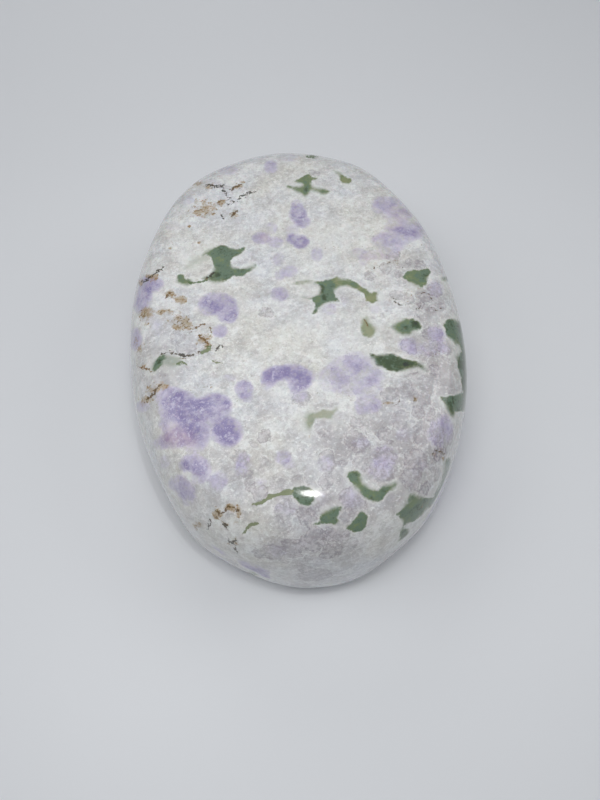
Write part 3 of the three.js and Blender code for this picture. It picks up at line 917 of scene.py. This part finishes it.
# %% Noise at every scale
BAND_TURN = math.radians(22)  # the banding rises to the right
BAND_STRETCH = 1.2
rock = Shader("polished_rock")
place = rock.node("TexCoord", output="Object")
place = rock.node("VectorMath", {0: place, "Scale": 1 / MM}, operation="SCALE")
stretch = {"Vector": place, "Rotation": (0, 0, BAND_TURN), "Scale": (BAND_STRETCH, 1, 1)}
banded = rock.node("Mapping", stretch, vector_type="TEXTURE")
mottle = rock.noise(banded, 3, detail=5, roughness=0.95)
tint = rock.noise(place, 9, detail=2, roughness=0.7)
lumps = rock.noise(place, 1.6, detail=3, roughness=0.7)
grain = rock.noise(place, 0.5, detail=2, roughness=0.8)
speck = rock.noise(place, 0.32, detail=1, roughness=0.5)
push = rock.node("TexNoise", {"Vector": place, "Scale": 0.7, "Detail": 2}, output="Color")
warped = rock.node("VectorMath", {0: place, 1: push}, operation="ADD")
print("noise nodes:", sum(node.type == "TEX_NOISE" for node in rock.tree.nodes))

# %% [markdown]
# The ground is chalky white, between a warm and a cool white, with milk-white flecks and a few brown
# grains. It is curdled: a cell texture gives the distance to the nearest wall between two curds, and the
# walls are paler. Straight walls would look cut, so the cells are drawn at places pushed about by noise.

# %% The white ground
CURD_MM = 3  # how far apart the curds are
coldness = tint * 0.5 - rock.mark("warmth") * 1.3
crowding_and_painted_shading = rock.mark("mass_and_painted_shading")
crowded = crowding_and_painted_shading.fade(0, 0.8)
cells = {"Vector": warped, "Scale": 1 / CURD_MM, "Randomness": 1}
curds = rock.node("TexVoronoi", cells, output="Distance", feature="DISTANCE_TO_EDGE")
curd_wall = curds.fade(0.16, 0.02) * mottle.fade(-1, 1.4) * (1 - crowded * 0.5)
body = rock.paint(
    colour(210, 209, 203),
    (coldness.fade(-1.6, 1.6), 204, 206, 212),
    (mottle.fade(-0.4, 3) * (crowded * 0.1 + 0.6), 234, 236, 235),
    (mottle.fade(0.4, -3) * (crowded * 0.15 + 0.62), 172, 170, 169),
    # Greyer where nodules crowd and where shade is painted, whiter where light is painted.
    (crowding_and_painted_shading.fade(0, 1) * 0.8, 161, 157, 160),
    (crowding_and_painted_shading.fade(0, -1) * 0.55, 228, 229, 226),
    (curd_wall * 0.3, 236, 238, 236),
    (grain.fade(0.8, 2.6) * 0.45, 244, 246, 244),
    (grain.fade(-0.9, -2.6) * 0.3, 162, 158, 156),
    (speck.fade(1.8, 2.6) * lumps.fade(0, 1.5) * 0.5, 140, 128, 108))

# %% [markdown]
# A nodule has a pale rim, a darker ring just inside it, and a grainy filling. Noise in millimetres frays
# its edge, and the rim shows only here and there.

# %% The nodules
depth = rock.mark("nodule_mm") + lumps * 0.14 + grain * 0.08
grey = rock.mark("nodule_grey")
filling = rock.paint(
    colour(142, 137, 143),
    ((grain + mottle * 0.6).fade(-1.8, 1.8), 192, 188, 191),
    (depth.fade(0.4, 1) * 0.35, 178, 174, 178))
body = rock.mix(depth.fade(-0.02, 0.3) * (grey * 0.95), body, filling)
ring = depth.fade(0.04, 0.14) * depth.fade(0.4, 0.2)
rim_gaps = (lumps + mottle * 0.5).fade(-1.2, 1.2)
rim = depth.fade(-0.3, -0.08) * depth.fade(0.16, 0) * rim_gaps
body = rock.paint(body, (ring * (grey * 0.65), 136, 129, 134), (rim * 0.45, 226, 227, 226))

# %% [markdown]
# Lilac colour soaks in unevenly: its edge is frayed by noise at three scales, and pale grains, curd walls
# and rims show through it.

# %% Lilac
dyed = rock.mark("lilac")
soaked = dyed + (mottle * 0.1 + lumps * 0.12 + grain * 0.09) * (dyed * 0.9 + 0.2)
pinkness = (rock.mark("warmth") - tint * 0.12).fade(0.3, 1.2)
pale = rock.paint(colour(183, 177, 198), (pinkness, 190, 174, 187))
deep = rock.paint(colour(131, 121, 166), (pinkness, 146, 124, 160))
threads = grain * 0.7 + speck * 0.25 + mottle * 0.6
dye = rock.paint(
    rock.mix(soaked.fade(0.4, 1), pale, deep),
    (threads.fade(0.1, 2) * 0.55, 208, 203, 220),
    (threads.fade(-0.2, -2) * 0.4, 126, 116, 150),
    (curd_wall * 0.24, 214, 210, 223),
    (ring * 0.3, 132, 121, 158))
dye_share = soaked.fade(0, 0.58) * dyed.fade(0.02, 0.2)
body = rock.mix(dye_share * (0.92 - rim * 0.25), body, dye)

# %% [markdown]
# Green mineral is smooth inside, bluish in its middle and olive near its edge, with darker cores. The
# white next to it is a little paler, because the nodules there are clear.

# %% Green
crispness = rock.noise(place, 3.5, detail=1).fade(-1.2, 1.2) * 1.3 + 0.5
strength = rock.mark("green_strength")
edge = (rock.mark("green_mm") + lumps * 0.055 + grain * 0.02) * crispness * (strength * 1.2 - 0.2)
tone = rock.mark("green_tone") + mottle * 0.1 + lumps * 0.08
mineral = rock.paint(
    colour(136, 142, 104),
    (tone.fade(-0.1, 0.3), 106, 124, 88),
    (tone.fade(0.25, 0.55), 94, 116, 96),
    (tone.fade(0.55, 0.9), 54, 74, 44),
    (tone.fade(1, 1.35), 34, 44, 36),
    (edge.fade(0.45, 0.05) * mottle.fade(-1.5, 1.5) * 0.75, 112, 124, 82))
body = rock.paint(body, (edge.fade(-0.55, -0.15) * 0.35, 222, 224, 219))
body = rock.mix(edge.fade(-0.14, 0.22) * strength * 0.95, body, mineral)

# %% [markdown]
# Rust is a tan stain with brown grains in it. Seams and veins are lines that noise breaks into grains.

# %% Rust, seams and veins
stain = rock.mark("rust") + lumps * 0.3 + grain * 0.12
brown = rock.paint(colour(92, 76, 52), ((mottle + lumps).fade(-1.4, 1), 146, 120, 80))
rust_grains = (speck * 0.7 + grain * 0.5 + stain * 1.5).fade(1.2, 2.3) * stain.fade(-0.1, 0.3)
body = rock.paint(body, (stain.fade(-0.1, 0.8) * 0.75, 165, 145, 113))
body = rock.mix(rust_grains * 0.7, body, brown)
off_line = abs(rock.mark("line_across") + lumps * 0.1)
seam_tone = rock.mark("line_tone")
line = rock.mark("line_width") - off_line + speck * (0.08 - seam_tone * 0.05)
thread = rock.paint(
    colour(60, 56, 47),
    (seam_tone.fade(0.1, 0.5), 122, 94, 56),
    (seam_tone.fade(0.55, 0.75), 88, 108, 70),
    (seam_tone.fade(0.8, 1), 118, 128, 90))
body = rock.mix(line.fade(-0.05, 0.1) * 0.88, body, thread)

# %% [markdown]
# The polish is high but made by hand, so its gloss changes a little from place to place, and the grains
# leave the faintest relief. A little light goes into the rock, which takes the hardness off its colours.

# %% The polish
bump = rock.node("Bump", {"Strength": 0.2, "Distance": 0.00002, "Height": grain * 0.1 + mottle * 0.1})
rock.cover(piece, {
    "Base Color": body, "Roughness": 0.1 + lumps * 0.01, "IOR": 1.55, "Normal": bump,
    "Subsurface Weight": 0.08, "Subsurface Scale": 0.0012})
print("nodes in the rock:", len(rock.tree.nodes))

# %% [markdown]
# A flat floor would end at a hard horizon when the camera looks low. A studio sweep has none, because it
# curves up behind the object. The camera may look from any side here, so the sweep goes all round.

# %% The floor
INNER_RADIUS = 0.02  # metres; one face closes the middle
FLAT_RADIUS = 0.35
SWEEP_RADIUS = 0.25
WALL_TOP = 0.5
BEND_POINTS = 17
SPOKES = 96


def sweep():
    """A profile carried round the vertical: level out to FLAT_RADIUS, a quarter circle up, then a wall. Its
    two parameters are the place along the profile and the compass angle. Faces look in and up."""
    bend = np.linspace(0, math.pi / 2, BEND_POINTS)
    wall = FLAT_RADIUS + SWEEP_RADIUS
    out = np.concatenate([[INNER_RADIUS], FLAT_RADIUS + SWEEP_RADIUS * np.sin(bend), [wall]])
    up = np.concatenate([[0], SWEEP_RADIUS * (1 - np.cos(bend)), [WALL_TOP]])
    compass = np.linspace(0, 2 * math.pi, SPOKES, endpoint=False)
    x, y = np.outer(out, np.cos(compass)), np.outer(out, np.sin(compass))
    points = np.stack([x, y, np.repeat(up[:, None], SPOKES, 1)], 2).reshape(-1, 3)
    here = np.arange(x.size).reshape(x.shape)
    beside = np.roll(here, -1, axis=1)
    faces = np.stack([here[:-1], here[1:], beside[1:], beside[:-1]], 2).reshape(-1, 4)
    return points, faces.tolist() + [list(range(SPOKES))]


floor_points, floor_faces = sweep()
floor = smooth_piece("floor", floor_points, floor_faces)
Shader("pale_floor").cover(floor, {"Base Color": colour(226, 228, 231), "Roughness": 0.7})
print("floor", 2 * (FLAT_RADIUS + SWEEP_RADIUS), "m across, faces", len(floor_faces))

# %% [markdown]
# A soft lamp stands over the face and another behind it, so that the face is bright up to its edge, and
# one on each side fills in. The first two would show in the polish as wide white bars, so glossy rays
# don't see them. A small bright lamp makes the highlight, and two wide faint ones the glow round it. The
# polish mirrors them, so the highlight's place fixes their direction: the line of sight to that place is
# mirrored in the surface there, and the lamps are put along it.

# %% Lights and world
HIGHLIGHT_PIXEL = (310, 491)
GLINT_DISTANCE_MM = 100
GLINTS = [  # across and along in millimetres, and power in watts
    ("glint", 3, 11.5, 0.0097), ("inner_glow", 5, 20, 0.0006), ("outer_glow", 9, 34, 0.001),
]
SOFT_LAMPS = [  # place, height that it looks at, and width in millimetres, watts, and if glossy rays see it
    ("over_face", (-10, -40, 120), 20, 56, 0.047, False),
    ("behind", (-30, 190, 150), 20, 160, 0.1, False),
    ("left_fill", (-190, 10, 190), 10, 160, 0.09, True),
    ("right_fill", (200, 20, 170), 10, 160, 0.1, True),
]
SKY = {"Color": (0.9, 0.92, 0.95, 1), "Strength": 0.33}


def area_light(name, place_mm, aim_mm, across_mm, along_mm, power):
    """An oval lamp at a place, looking at another."""
    data = bpy.data.lights.new(name, "AREA")
    data.shape = "ELLIPSE"
    data.size, data.size_y, data.energy = across_mm * MM, along_mm * MM, power
    light = placed(name, data)
    light.location = Vector(place_mm) * MM
    light.rotation_euler = (Vector(aim_mm) - Vector(place_mm)).to_track_quat("-Z", "Y").to_euler()
    return light


number = point_at(HIGHLIGHT_PIXEL)
mirror_mm, facing_out = stone[number], normals[number]
sight = camera_mm - mirror_mm
sight /= np.linalg.norm(sight)
glint_mm = mirror_mm + GLINT_DISTANCE_MM * (2 * (sight @ facing_out) * facing_out - sight)
for name, *shape_and_power in GLINTS:
    area_light(name, glint_mm, mirror_mm, *shape_and_power)
for name, place_mm, height_mm, width_mm, power, mirrored in SOFT_LAMPS:
    light = area_light(name, place_mm, (0, 0, height_mm), width_mm, width_mm, power)
    light.visible_glossy = mirrored
world = bpy.data.worlds.new("studio")
world.use_nodes = True
for name, value in SKY.items():
    world.node_tree.nodes["Background"].inputs[name].default_value = value
bpy.context.scene.world = world
bpy.context.scene.view_settings.view_transform = "Standard"
print("the small lamp is at", np.round(glint_mm, 1), "mm")

# %% [markdown]
# The piece's box should be the model's own box, or the looks and the collision shape would disagree
# about where the stone is.
